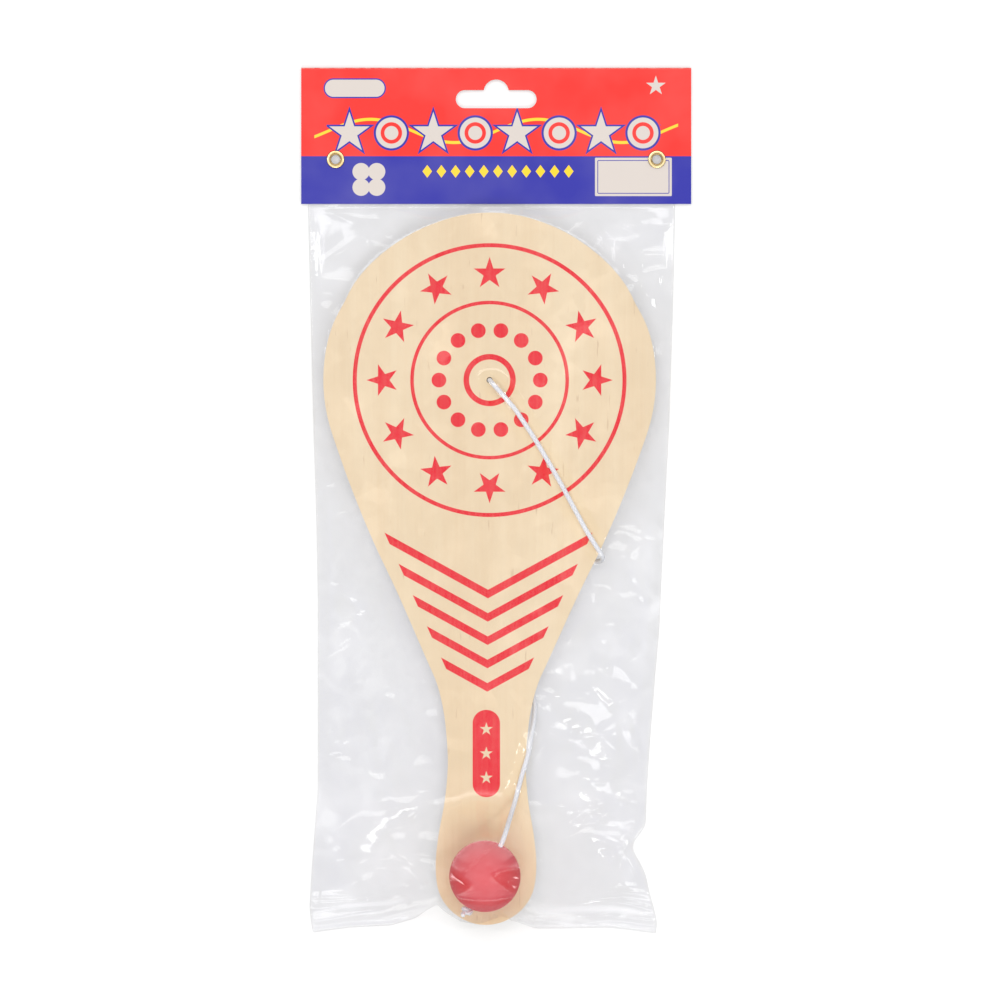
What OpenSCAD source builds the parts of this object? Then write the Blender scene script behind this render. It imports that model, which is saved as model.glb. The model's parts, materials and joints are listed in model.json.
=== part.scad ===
// Paddle ball game in its shop pack: a three-ply paddle, a rubber ball on an elastic,
// a clear film bag and a folded header card held on by two eyelets.
// The pack lies on its back: +X right, +Y up towards the header, +Z out of the face.

/* [Header card] */
// Width of the card and the bag's mouth, as a multiple of the paddle's head
card_share = 1.1768; // [1.14:0.001:1.3]
// Height of the card, lower edge to fold
card_h = 54; // [46:0.5:70]
// Thickness of the card stock
card_t = 0.4; // [0.3:0.05:0.6]
// Length of the hang slot, end to end
slot_len = 32; // [24:0.5:40]
// Height of the hang slot
slot_h = 7.2; // [6:0.1:9]
// Radius of the round hump over the slot's middle
hump_r = 5; // [4.6:0.1:6.5]
// How far the hump's centre sits above the slot's centre line
hump_rise = 2.8; // [1:0.1:5]
// Distance from the fold down to the slot's centre line
slot_drop = 12.5; // [10:0.5:15]

/* [Eyelets] */
// Radius of the hole through an eyelet
eyelet_bore_r = 1.8; // [1.2:0.1:2.2]
// Wall of the eyelet's barrel
eyelet_wall = 0.3; // [0.2:0.05:0.45]
// Outer radius of the flange on the face
flange_r = 3.5; // [3.2:0.1:4.5]
// Outer radius of the rolled rim on the back
roll_r = 3.1; // [2.9:0.1:4.2]
// Height of the flange and of the rolled rim
roll_h = 0.7; // [0.5:0.05:1]
// Distance from the card's side to an eyelet's centre
eyelet_inset = 13.6; // [8:0.2:24]
// Distance from the card's lower edge up to an eyelet's centre
eyelet_rise = 17.6; // [10:0.2:22]

/* [Bag] */
// Modelled thickness of one layer of film
film_t = 0.3; // [0.2:0.05:0.35]
// Length of the bag below the card, fold line to bottom corner
bag_len = 288; // [287:0.5:292]
// How far the bag's mouth reaches up inside the card
mouth_h = 31; // [24:0.5:36]
// Width of the flat edge where front and back film are sealed
rim_w = 0.8; // [0.5:0.1:1.5]

/* [Paddle] */
// Length of the paddle, top of the head to the butt
paddle_len = 281; // [276:0.5:281.5]
// Width of the head
head_w = 131.2; // [120:0.2:132]
// Thickness of each outer veneer
veneer_t = 0.9; // [0.6:0.05:1.1]
// Thickness of the core ply
core_t = 2.2; // [1.6:0.1:2.6]
// Diameter of the drilled hole for the elastic
hole_d = 2.4; // [2.1:0.1:3.5]
// Distance from the top of the head to the hole
hole_drop = 66.1; // [66:0.1:66.3]

/* [Elastic] */
// Diameter of the covered elastic
elastic_d = 1.9; // [1.7:0.05:2]
// Turns in each of the coil's two layers
layer_turns = 2; // [1:1:3]
// Radius of the coil's outermost turn
coil_r = 12.8; // [12:0.1:16]

/* [Ball] */
// Diameter of the rubber ball
ball_d = 28; // [26:0.2:28.4]
// Radial play of the elastic in the ball's bore
bore_play = 0.08; // [0.03:0.01:0.1]

/* [Hidden] */
// Overrun of every cut past the face it leaves
cut_over = 1;
// Clearance between pieces that lie on each other
lay_gap = 0.25;
// Smoothness of round holes and rims
round_fn = 48;

// Play of the card and the film round an eyelet
hole_play = 0.1;

// Levels above the table, worked up from the rolled rims of the eyelets
mid_z = roll_h + card_t + film_t;
card_top_z = mid_z + film_t + card_t;
turn_gap = 0.46;
coil_pitch = elastic_d + turn_gap;
coil_low_z = film_t + lay_gap + elastic_d / 2;
coil_high_z = coil_low_z + coil_pitch;
ply_t = 2 * veneer_t + core_t;
back_z = coil_high_z + elastic_d / 2 + lay_gap;
face_z = back_z + ply_t;

// The card is as wide as the bag, which is cut to take the head
card_w = head_w * card_share;
// Fold line of the film, one step below the header card
card_step = 1;
pack_len = card_h + bag_len + card_step;
fold_y = pack_len / 2 - card_h - card_step;
card_low_y = fold_y + card_step;
mouth_step = 0.4;
bag_step = 0.5;

// The paddle leans a little in its bag; its top sits just under the fold line
paddle_lean = 0.43;
head_drop = 2.8;
paddle_side = -2.1;
paddle_top = [paddle_side, fold_y - head_drop];

// Half outline of the paddle: share of the length from the top, share of half the head width
paddle_shares = [[0, 0], [0.008, 0.213], [0.036, 0.459], [0.088, 0.746], [0.138, 0.902],
    [0.182, 0.975], [0.235, 1], [0.288, 0.974], [0.347, 0.892], [0.406, 0.796], [0.466, 0.686],
    [0.537, 0.54], [0.625, 0.372], [0.662, 0.303], [0.698, 0.264], [0.733, 0.244], [0.776, 0.234],
    [0.826, 0.251], [0.875, 0.287], [0.918, 0.303], [0.954, 0.282], [0.979, 0.214],
    [0.995, 0.11], [1, 0]];
outline_steps = 4;

// Ball on the butt of the handle, and the tilt and heading of its bore
ball_r = ball_d / 2;
ball_gap = 0.2;
ball_down_share = 0.928;
ball_side = -0.343;
ball_y = paddle_top.y - ball_down_share * paddle_len;
ball_c = [axis_x(ball_y) + ball_side, ball_y, face_z + ball_gap + ball_r];
bore_r = elastic_d / 2 + bore_play;
bore_lift = 14;
bore_heading = 63.5;
bore_dir = [cos(bore_lift) * cos(bore_heading), cos(bore_lift) * sin(bore_heading), sin(bore_lift)];

// Hole in the paddle, on its leaning centre line
hole_c = paddle_top + hole_drop * [-sin(paddle_lean), -cos(paddle_lean)];

// Knots: a tight ball of elastic with three twisted lobes
knot_r_share = 1.1;
knot_h_share = 0.83;
knot_r = knot_r_share * elastic_d;
knot_half_h = knot_h_share * elastic_d;
knot_lobe_share = 0.13;
knot_twist = 2;
knot_lobes = 3;
knot_pole_angle = 80;
knot_rings = 12;
knot_sides = 18;
anchor_c = [hole_c.x, hole_c.y, back_z - lay_gap - knot_half_h];
ball_knot_c = ball_c - bore_dir * (ball_r + lay_gap + knot_half_h);

// Coil of the hidden length, behind the paddle: in by one layer and out by the next
coil_down_share = 0.5541;
coil_side = -4.73;
coil_y = paddle_top.y - coil_down_share * paddle_len;
coil_c = [axis_x(coil_y) + coil_side, coil_y];
coil_turns = 2 * layer_turns + 0.5;
rings_per_turn = 24;
coil_sides = 6;
coil_in = [coil_c.x + elastic_d, coil_c.y + coil_r, coil_low_z];
coil_out = [coil_c.x + elastic_d, coil_c.y - coil_r, coil_high_z];

// Where the elastic goes round the paddle's right edge: at the head, and at the neck
edge_in_share = 0.483;
edge_out_share = 0.711;
edge_in = edge_right(edge_in_share);
edge_out = edge_right(edge_out_share);

// Runs of the elastic. Each place is a share along the line between the run's two ends,
// a share of that line's length to its left, and a level. A level from 0 to 1 is from the
// paddle's back to its face; past those it counts in diameters of the elastic.
// From the anchor knot, up the hole, over the face and round the edge
face_shares = [[0, -0.0001, -0.663], [0, -0.0001, 0.235], [0, -0.0001, 0.785],
    [0.0017, 0.0004, 1.074], [0.0067, 0.0016, 1.6], [0.024, 0.0041, 2.337],
    [0.0481, 0.0082, 2.653], [0.0744, 0.0137, 2.547], [0.1035, 0.0191, 2.179],
    [0.137, 0.0246, 1.811], [0.1817, 0.032, 1.653], [0.2365, 0.0347, 1.653],
    [0.2957, 0.0376, 1.653], [0.3829, 0.0394, 1.653], [0.4672, 0.0386, 1.653],
    [0.5508, 0.0367, 1.653], [0.6311, 0.0341, 1.653], [0.7118, 0.0297, 1.653],
    [0.7886, 0.0262, 1.653], [0.8529, 0.0232, 1.653], [0.9146, 0.0232, 1.653],
    [0.9742, 0.0244, 1.653], [0.997, 0.0264, 1.389], [1.0155, 0.0238, 0.91], [1.026, 0.0174, 0.51],
    [1.0283, 0.0046, 0.11], [1.0219, -0.0131, -0.4], [1.0115, -0.0327, -0.663]];
// On behind the paddle to the coil
tuck_shares = [[0.1234, 0.0348, -0.716], [0.2148, 0.0314, -0.926], [0.324, 0.0296, -1.189],
    [0.4335, 0.0299, -1.453], [0.5433, 0.0323, -1.663], [0.6528, 0.0327, -1.821],
    [0.7616, 0.0287, -1.874], [0.8697, 0.0205, -1.874]];
// From the coil, out past the neck and round its edge
neck_shares = [[0.077, 0.109, -0.663], [0.1481, 0.1673, -0.663], [0.2373, 0.2082, -0.663],
    [0.3345, 0.2311, -0.663], [0.44, 0.2363, -0.663], [0.5741, 0.2206, -0.663],
    [0.7071, 0.1927, -0.663], [0.8306, 0.1548, -0.663], [0.9164, 0.1177, -0.558],
    [0.9913, 0.0683, -0.084], [1.0698, 0.0038, 0.31], [1.1477, -0.0667, 0.685],
    [1.227, -0.1348, 1.074]];
// Over the handle and up to the ball; here the level is a share of the climb to the bore
ball_shares = [[0.2626, 0.0527, 0.064], [0.3483, 0.0481, 0.076], [0.4346, 0.0415, 0.07],
    [0.5053, 0.0395, 0.07], [0.5677, 0.0376, 0.076], [0.6301, 0.0357, 0.115],
    [0.6803, 0.0331, 0.206], [0.7247, 0.029, 0.336], [0.771, 0.0254, 0.499],
    [0.8197, 0.0203, 0.68], [0.8616, 0.0178, 0.844], [0.8976, 0.0138, 0.957],
    [0.9356, 0.0104, 1.013], [0.9741, 0.0049, 1.019]];
bore_in_share = 0.25;
bore_in = ball_c + bore_dir * (ball_r + elastic_d * bore_in_share);
bore_end = ball_c - bore_dir * (ball_r + lay_gap + knot_half_h / 2);
straight = [elastic_d, 0, 0];
face_route = concat(run(face_shares, hole_c, edge_in), run(tuck_shares, edge_in, coil_in),
    [coil_in + straight, coil_in]);
ball_route = concat([coil_out, coil_out + straight], run(neck_shares, coil_out, edge_out),
    [for (p = ball_shares) along(p, edge_out, bore_in, face_z + p.z * (bore_in.z - face_z))],
    [bore_in, ball_c, bore_end]);
run_sides = 8;

// Plan of the bag: share of its length below the fold, share of half the card's width
left_shares = [[0, -0.966], [0.54, -0.921], [0.828, -0.921], [0.975, -0.956], [1, -0.937]];
right_shares = [[0, 0.918], [0.54, 0.842], [0.72, 0.797], [0.858, 0.776], [0.877, 0.72],
    [0.944, 0.786], [0.985, 0.829], [1, 0.816]];
// Bottom edge: share of half the card's width, share of the bag's length
bottom_shares = [[-0.937, 0.998], [-0.303, 0.962], [-0.233, 0.975], [-0.15, 0.987],
    [-0.054, 0.989], [0.04, 0.987], [0.104, 0.981], [0.16, 0.981], [0.816, 1]];
// How much of the seal's lift the bottom edge has, by share of half the card's width
lift_shares = [[-0.8, 0], [-0.303, 0.4], [-0.083, 1], [0.035, 0.9], [0.3, 0.35], [0.65, 0]];
seal_lift = 4.1;
lift_reach = 40;
// Grid of the film: shares across the bag and shares down it
across_shares = [0, 0.006, 0.013, 0.02, 0.03, 0.045, 0.065, 0.09, 0.12, 0.17, 0.24, 0.31,
    0.37, 0.41, 0.44, 0.47, 0.5, 0.53, 0.56, 0.59, 0.62, 0.66, 0.72, 0.79, 0.84, 0.88, 0.91,
    0.935, 0.955, 0.97, 0.984, 0.994, 1];
front_down_shares = [0, 0.0024, 0.0075, 0.013, 0.021, 0.035, 0.055, 0.075, 0.092, 0.11,
    0.127, 0.145, 0.165, 0.185, 0.225, 0.265, 0.31, 0.36, 0.41, 0.46, 0.51, 0.56, 0.62, 0.67,
    0.72, 0.76, 0.8, 0.835, 0.865, 0.885, 0.9, 0.912, 0.924, 0.936, 0.948, 0.963, 0.975,
    0.985, 0.992, 0.997, 1];
back_down_shares = [0, 0.006, 0.02, 0.04, 0.1, 0.23, 0.4, 0.6, 0.75, 0.865, 0.93, 0.963,
    0.985, 0.992, 0.997, 1];

// Slack of the film over the paddle, the elastic and the ball
film_gap = 0.6;
crown_h = 5;
crown_share = 0.45;
crown_fall_share = 0.8;
shoulder_out = 2.6;
cord_shoulder_out = 3.8;
cord_shoulder_h = elastic_d + 1.2;
tent_reach = 72;
tent_foot_h = 6;
seal_band = 9;
back_band = 9;
film_fade = 6;
cord_fade = 19;
wall_step = 0.3;
arc_steps = 6;
arc_from = 20;
arc_to = 160;

// Points of a smooth closed loop through the given points
function smooth_loop(points, steps) = [for (i = [0 : len(points) - 1], k = [0 : steps - 1])
    let (n = len(points), t = k / steps,
        a = points[(i + n - 1) % n], b = points[i],
        c = points[(i + 1) % n], d = points[(i + 2) % n])
    0.5 * (2 * b + (c - a) * t + (2 * a - 5 * b + 4 * c - d) * t * t
        + (3 * b - a - 3 * c + d) * t * t * t)];

// Paddle outline about its own centre line, top at the origin, running down
function paddle_points() = let (
    half = [for (p = paddle_shares) [p[1] * head_w / 2, -p[0] * paddle_len]],
    other = [for (i = [len(half) - 2 : -1 : 1]) [-half[i].x, half[i].y]])
    smooth_loop(concat(half, other), outline_steps);

// Centre line and half width of the paddle at a height up the pack
function axis_x(y) = paddle_top.x - (paddle_top.y - y) * tan(paddle_lean);
function half_w(y) = lookup((paddle_top.y - y) / paddle_len, paddle_shares) * head_w / 2;

function edge_right(share) = let (y = paddle_top.y - share * paddle_len)
    [axis_x(y) + half_w(y), y];

// A place beside the line between two ends, and a whole run of the elastic
function along(p, from, to, z) = [from.x + p.x * (to.x - from.x) - p.y * (to.y - from.y),
    from.y + p.x * (to.y - from.y) + p.y * (to.x - from.x), z];
function level_z(level) = back_z + min(1, max(0, level)) * ply_t
    + (min(0, level) + max(0, level - 1)) * elastic_d;
function run(shares, from, to) = [for (p = shares) along(p, from, to, level_z(p.z))];

// Bag edges at a share down the bag
function side_x(share, shares) = lookup(share, shares) * card_w / 2;
function bottom_y(x) = fold_y - lookup(x / (card_w / 2), bottom_shares) * bag_len;
function rim_z(x, y) = mid_z + lookup(x / (card_w / 2), lift_shares) * seal_lift
    * max(0, 1 - (y - bottom_y(x)) / lift_reach);

// Points of the toy that a taut film passes over, on the section at height y
function arc_points(centre, r) = r <= 0 ? [] : [for (i = [0 : arc_steps])
    let (a = arc_from + (arc_to - arc_from) * i / arc_steps) centre + r * [cos(a), sin(a)]];
function toy_points(y) = let (
    film_r = ball_r + film_gap,
    off = y - ball_c.y,
    k = min(1, max(0, off / tent_reach)),
    foot_z = face_z + tent_foot_h,
    cone_r = film_r * (1 - k),
    cone_z = ball_c.z + (foot_z - ball_c.z) * k,
    ball_w = abs(off) < film_r ? sqrt(film_r * film_r - off * off) : 0,
    below = max(0, min(1, (paddle_top.y - film_gap - y) / film_fade)),
    corded = max(0, min(1, (hole_c.y - cord_fade - y) / cord_fade)),
    mid = axis_x(y),
    reach = half_w(max(y, paddle_top.y - paddle_len)),
    low = y > paddle_top.y + film_gap ? [] : [
        [mid - reach - shoulder_out, face_z + film_gap],
        [mid + reach + shoulder_out + (cord_shoulder_out - shoulder_out) * corded,
            face_z + film_gap + (cord_shoulder_h - film_gap) * corded],
        for (side = [-1, 0, 1]) [mid + side * crown_share * reach, face_z + film_gap
            + (crown_h - film_gap) * below * (side == 0 ? 1 : crown_fall_share)]])
    concat(low, arc_points([ball_c.x, cone_z], cone_r), arc_points([ball_c.x, ball_c.z], ball_w));

// Height at x of a string pulled tight over the points
function taut(x, points) = max([for (a = points, b = points) if (a.x <= x && b.x >= x)
    b.x - a.x > 0 ? a.y + (b.y - a.y) * (x - a.x) / (b.x - a.x) : max(a.y, b.y)]);

// Underside of the front film and top of the back film at a grid place
function front_z(x, y, x_left, x_right) = let (
    inner_l = x_left + rim_w,
    inner_r = x_right - rim_w,
    at = min(inner_r, max(inner_l, x)),
    tight = taut(at, concat([[inner_l, mid_z], [inner_r, mid_z]],
        [for (p = toy_points(y)) [max(inner_l + wall_step, min(inner_r - wall_step, p.x)), p.y]])),
    rim = rim_z(x, y),
    off = max(0, y - bottom_y(x)))
    rim + max(0, tight - rim) * sqrt(min(1, off / seal_band));
function back_top_z(x, y, x_left, x_right) = let (
    inset = min(x - x_left, x_right - x, y - bottom_y(x), fold_y - bag_step - y) - rim_w,
    rise = 1 - sqrt(min(1, max(0, inset) / back_band)))
    film_t + (rim_z(x, y) - film_t) * rise;

// A grid place of the bag: x from the sides at its share down, y from its own bottom edge
function bag_xy(across, down) = let (
    x_low = side_x(1, left_shares) + across * (side_x(1, right_shares) - side_x(1, left_shares)),
    x_left = side_x(down, left_shares),
    x_right = side_x(down, right_shares),
    top = fold_y - bag_step)
    [x_left + across * (x_right - x_left), top - down * (top - bottom_y(x_low)), x_left, x_right];

// Solid between two grids of points, the lower one first
module sheet(low, high) {
    rows = len(low);
    cols = len(low[0]);
    n = rows * cols;
    flat = concat([for (row = low, p = row) p], [for (row = high, p = row) p]);
    top = [for (i = [0 : rows - 2], j = [0 : cols - 2]) let (a = n + i * cols + j)
        each [[a, a + 1, a + cols + 1], [a, a + cols + 1, a + cols]]];
    under = [for (i = [0 : rows - 2], j = [0 : cols - 2]) let (a = i * cols + j)
        each [[a, a + cols + 1, a + 1], [a, a + cols, a + cols + 1]]];
    sides = [for (i = [0 : rows - 2]) each [
        [i * cols, n + i * cols, n + (i + 1) * cols],
        [i * cols, n + (i + 1) * cols, (i + 1) * cols],
        [(i + 1) * cols - 1, n + (i + 2) * cols - 1, n + (i + 1) * cols - 1],
        [(i + 1) * cols - 1, (i + 2) * cols - 1, n + (i + 2) * cols - 1]]];
    last = (rows - 1) * cols;
    ends = [for (j = [0 : cols - 2]) each [
        [j, n + j + 1, n + j], [j, j + 1, n + j + 1],
        [last + j, n + last + j, n + last + j + 1], [last + j, n + last + j + 1, last + j + 1]]];
    polyhedron(flat, concat(top, under, sides, ends), convexity = 8);
}

// Solid through rings of points, each turning left about the way they run
module skin(rings) {
    last = len(rings) - 1;
    n = len(rings[0]);
    walls = [for (i = [0 : last - 1], k = [0 : n - 1]) let (p = i * n + k, q = i * n + (k + 1) % n)
        each [[p, p + n, q + n], [p, q + n, q]]];
    polyhedron([for (ring = rings) each ring], concat([[for (k = [0 : n - 1]) k]], walls,
        [[for (k = [n - 1 : -1 : 0]) last * n + k]]), convexity = 10);
}

// Round cord swept along a route, ends cut square
function unit(v) = v / norm(v);
function square_to(v, t) = unit(v - (v * t) * t);
module cord(route, r, sides) {
    last = len(route) - 1;
    along = [for (i = [0 : last]) unit(route[min(last, i + 1)] - route[max(0, i - 1)])];
    start = square_to(abs(along[0].x) < 0.9 ? [1, 0, 0] : [0, 1, 0], along[0]);
    normals = [for (i = 0, v = start; i <= last; i = i + 1,
        v = i <= last ? square_to(v, along[i]) : v) v];
    skin([for (i = [0 : last]) [for (k = [0 : sides - 1]) let (a = 360 * k / sides)
        route[i] + r * (cos(a) * normals[i] + sin(a) * cross(along[i], normals[i]))]]);
}

// Centre line of the coil, with a straight diameter at each end
function coil_point(turn) = let (
    r = coil_r - coil_pitch * min(turn, coil_turns - turn),
    a = 90 + 360 * turn,
    climb = min(1, max(0, 2 * (turn - layer_turns))))
    [coil_c.x + r * cos(a), coil_c.y + r * sin(a),
        coil_low_z + coil_pitch * climb * climb * (3 - 2 * climb)];
coil_line = concat([coil_in],
    [for (i = [0 : coil_turns * rings_per_turn]) coil_point(i / rings_per_turn)], [coil_out]);
coil_gap = min([for (i = [0 : len(coil_line) - 1], j = [0 : len(coil_line) - 1])
    if (j - i > rings_per_turn / 2) norm(coil_line[i] - coil_line[j])]) - elastic_d;
echo(coil_gap = coil_gap);

// Hang slot: a long hole with round ends and a hump over its middle
module hang_slot() {
    end_x = (slot_len - slot_h) / 2;
    translate([0, card_low_y + card_h - slot_drop, -cut_over])
        linear_extrude(card_top_z + 2 * cut_over) {
            square([2 * end_x, slot_h], center = true);
            for (side = [-1, 1]) translate([side * end_x, 0]) circle(d = slot_h, $fn = round_fn);
            translate([0, hump_rise]) circle(r = hump_r, $fn = round_fn);
        }
}

function eyelet_at(side) = [side * (card_w / 2 - eyelet_inset), card_low_y + eyelet_rise, 0];
module eyelet_hole(side, extra) {
    translate(eyelet_at(side) + [0, 0, -cut_over])
        cylinder(r = eyelet_bore_r + eyelet_wall + extra, h = card_top_z + 2 * cut_over,
            $fn = round_fn);
}

// Side view of the folded card: two panels joined by a round fold at the top
module card_profile() {
    fold_r = (card_top_z - roll_h) / 2;
    fold_c = card_low_y + card_h - fold_r;
    difference() {
        union() {
            translate([card_low_y, roll_h]) square([fold_c - card_low_y, 2 * fold_r]);
            translate([fold_c, mid_z]) circle(r = fold_r, $fn = round_fn);
        }
        translate([card_low_y - cut_over, mid_z - film_t])
            square([fold_c - card_low_y + cut_over, 2 * film_t]);
        translate([fold_c, mid_z]) circle(r = film_t, $fn = round_fn);
    }
}

// Printed card, folded over the bag's mouth
module header_card() {
    color("crimson") difference() {
        translate([-card_w / 2, 0, 0]) rotate([90, 0, 90]) linear_extrude(card_w) card_profile();
        hang_slot();
        for (side = [-1, 1]) eyelet_hole(side, hole_play);
    }
}

// Brass eyelet: barrel, rounded flange in front, rolled rim behind
module eyelet(side) {
    barrel_r = eyelet_bore_r + eyelet_wall;
    bead_r = roll_h / 2;
    color("goldenrod") translate(eyelet_at(side)) rotate_extrude($fn = round_fn) {
        translate([eyelet_bore_r, bead_r])
            square([eyelet_wall, card_top_z]);
        for (rim = [[flange_r, card_top_z], [roll_r, 0]]) translate([0, rim[1] + bead_r]) {
            translate([eyelet_bore_r + bead_r, -bead_r])
                square([rim[0] - eyelet_bore_r - 2 * bead_r, roll_h]);
            for (x = [eyelet_bore_r + bead_r, rim[0] - bead_r])
                translate([x, 0]) circle(r = bead_r, $fn = round_fn);
        }
    }
}
module eyelet_left() eyelet(-1);
module eyelet_right() eyelet(1);

// Mouth of the bag: both films flat between the card's panels
module bag_mouth() {
    left = side_x(0, left_shares);
    right = side_x(0, right_shares);
    color("gainsboro") difference() {
        translate([left, fold_y + mouth_step, mid_z - film_t])
            cube([right - left, mouth_h, 2 * film_t]);
        for (side = [-1, 1]) eyelet_hole(side, hole_play);
    }
}

// Front film, drawn tight over the paddle and the ball
module bag_front() {
    low = [for (down = front_down_shares) [for (across = across_shares)
        let (p = bag_xy(across, down)) [p[0], p[1], front_z(p[0], p[1], p[2], p[3])]]];
    high = [for (row = low) [for (p = row) p + [0, 0, film_t]]];
    color("gainsboro", 0.4) sheet(low, high);
}

// Back film, flat on the table and lifted to the seal round its edge
module bag_back() {
    high = [for (down = back_down_shares) [for (across = across_shares)
        let (p = bag_xy(across, down)) [p[0], p[1], back_top_z(p[0], p[1], p[2], p[3])]]];
    low = [for (row = high) [for (p = row) p - [0, 0, film_t]]];
    color("gainsboro", 0.4) sheet(low, high);
}

// One ply of the paddle, between two levels, drilled for the elastic
module ply(low_z, high_z) {
    difference() {
        translate([paddle_top.x, paddle_top.y, low_z]) rotate([0, 0, -paddle_lean])
            linear_extrude(high_z - low_z) polygon(paddle_points());
        translate([hole_c.x, hole_c.y, low_z - cut_over])
            cylinder(d = hole_d, h = high_z - low_z + 2 * cut_over, $fn = round_fn);
    }
}
module back_veneer() color("burlywood") ply(back_z, back_z + veneer_t);
module core_ply() color("tan") ply(back_z + veneer_t, face_z - veneer_t);
module front_veneer() color("wheat") ply(face_z - veneer_t, face_z);

module elastic_face_run() color("white") cord(face_route, elastic_d / 2, run_sides);
module elastic_coil() color("white") cord(coil_line, elastic_d / 2, coil_sides);
module elastic_ball_run() color("white") cord(ball_route, elastic_d / 2, run_sides);

// Overhand knot drawn tight
module knot() {
    skin([for (i = [0 : knot_rings]) let (lat = knot_pole_angle * (2 * i / knot_rings - 1))
        [for (k = [0 : knot_sides - 1]) let (a = 360 * k / knot_sides,
            lobe = 1 + knot_lobe_share * cos(knot_lobes * a + knot_twist * lat),
            r = knot_r * cos(lat) * lobe)
            [r * cos(a), r * sin(a), knot_half_h * sin(lat) / sin(knot_pole_angle)]]]);
}
module anchor_knot() color("white") translate(anchor_c) knot();
module ball_knot() color("white") translate(ball_knot_c)
    rotate([0, 90 - bore_lift, bore_heading]) knot();

// Rubber ball with a bore right through it
module ball() {
    color("indianred") translate(ball_c) rotate([0, 90 - bore_lift, bore_heading]) difference() {
        sphere(r = ball_r, $fn = 2 * round_fn);
        cylinder(r = bore_r, h = ball_d + 2 * cut_over, center = true, $fn = round_fn);
    }
}

header_card();
eyelet_left();
eyelet_right();
bag_mouth();
bag_front();
bag_back();
front_veneer();
core_ply();
back_veneer();
elastic_face_run();
elastic_coil();
elastic_ball_run();
anchor_knot();
ball();
ball_knot();
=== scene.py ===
import json
import math

import bmesh
import bpy
import numpy as np
from mathutils import Matrix, Vector
from mathutils.bvhtree import BVHTree


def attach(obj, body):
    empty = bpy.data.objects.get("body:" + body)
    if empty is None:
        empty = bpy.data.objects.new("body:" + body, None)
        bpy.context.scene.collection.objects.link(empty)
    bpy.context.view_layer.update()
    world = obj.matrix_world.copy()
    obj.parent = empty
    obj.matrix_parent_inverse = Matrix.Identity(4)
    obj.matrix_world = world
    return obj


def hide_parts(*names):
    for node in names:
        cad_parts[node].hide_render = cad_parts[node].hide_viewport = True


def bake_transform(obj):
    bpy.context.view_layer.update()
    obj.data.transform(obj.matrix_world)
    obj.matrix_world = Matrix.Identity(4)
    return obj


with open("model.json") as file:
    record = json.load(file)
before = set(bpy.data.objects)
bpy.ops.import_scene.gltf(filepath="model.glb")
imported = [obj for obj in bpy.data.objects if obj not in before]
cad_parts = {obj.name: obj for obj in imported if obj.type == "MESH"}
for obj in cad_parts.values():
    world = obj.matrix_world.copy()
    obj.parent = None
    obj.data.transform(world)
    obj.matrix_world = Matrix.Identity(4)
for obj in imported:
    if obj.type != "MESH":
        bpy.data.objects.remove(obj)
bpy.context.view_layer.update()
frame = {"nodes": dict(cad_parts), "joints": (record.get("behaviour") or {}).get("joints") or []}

nodes = frame["nodes"]

# The view: the pack lies on its back and is photographed from straight above by a long
# lens, a little off the middle of the frame.
camera_data = bpy.data.cameras.new("camera")
camera_data.sensor_width = 36
camera_data.lens = 181.7
camera_data.clip_end = 10
camera = bpy.data.objects.new("camera", camera_data)
camera.location = (0.0015, 0.0003, 2.0)
bpy.context.collection.objects.link(camera)
bpy.context.scene.camera = camera
bpy.context.scene.view_settings.view_transform = "Standard"

# The paddle: three-ply board, two pale lime veneers with the grain down the paddle and a
# core ply across it, glued, sawn to shape, sanded and drilled. The face is screen printed
# with one red ink, thin enough for the grain to show through.
INK_RED = (0.92, 0.002, 0.006, 1)
LIME_PALE, LIME_DEEP = (0.96, 0.78, 0.525, 1), (0.91, 0.71, 0.455, 1)
BACK_PALE, BACK_DEEP = (0.9, 0.72, 0.5, 1), (0.78, 0.58, 0.36, 1)
CORE_PALE, CORE_DEEP = (0.74, 0.55, 0.34, 1), (0.5, 0.33, 0.17, 1)
FLECK_BROWN, SAWN_BROWN = (0.5, 0.3, 0.15, 1), (0.42, 0.26, 0.13, 1)
# All of the paddle's places and sizes are in millimetres. Its middle line goes through the
# hole, and leans to the right by LEAN per millimetre up.
HOLE_X, HOLE_Y = -2.6, 47.6
LEAN = 0.0075
# Height up the pack, and how much wider the head is there than its CAD outline
SHOULDERS = [(78, 84, 90, 96, 101, 107, 115), (1, 1.02, 1.045, 1.085, 1.115, 1.145, 1.15)]
# Printed round the hole: rings as radius and half the line, then dots and stars
RINGS = [(53.2, 0.8), (30.6, 0.7), (9.2, 1.1)]
DOTS, DOTS_AT_R, DOT_R = 14, 20, 2.9
STARS, STARS_AT_R, STAR_R = 12, 42, 6.6
# Printed on the neck: chevrons in a field, which at height 0 would reach FIELD_REACH to
# each side, and reaches further by FIELD_FLARE per millimetre up
CHEVRON_PITCH, CHEVRON_HALF, CHEVRON_SLOPE = 9.2, 1.7, 0.55
FIELD_Y, FIELD_HALF_H = -54.7, 25.3
FIELD_REACH, FIELD_FLARE = 46.8, 0.46
# Printed on the handle: a bar with round ends, which three small stars are left out of
BAR_X, BAR_Y = -3.9, -99.7
BAR_HALF_W, BAR_HALF_H, BAR_CORNER = 5.4, 17.2, 5.3
BAR_STAR_STEP, BAR_STAR_R = 9.6, 2.7


def ply(name):
    """One of the board's plies, with the head a little fuller at its shoulders."""
    shape = nodes[name].data.copy()
    shape.transform(nodes[name].matrix_world)
    for point in shape.vertices:
        up = point.co.y * 1000
        middle = (HOLE_X + (up - HOLE_Y) * LEAN) / 1000
        point.co.x = middle + (point.co.x - middle) * np.interp(up, *SHOULDERS)
    board_ply = bpy.data.objects.new(name + "_shown", shape)
    bpy.context.collection.objects.link(board_ply)
    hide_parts(name)
    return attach(board_ply, "bagged_toy")


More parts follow.
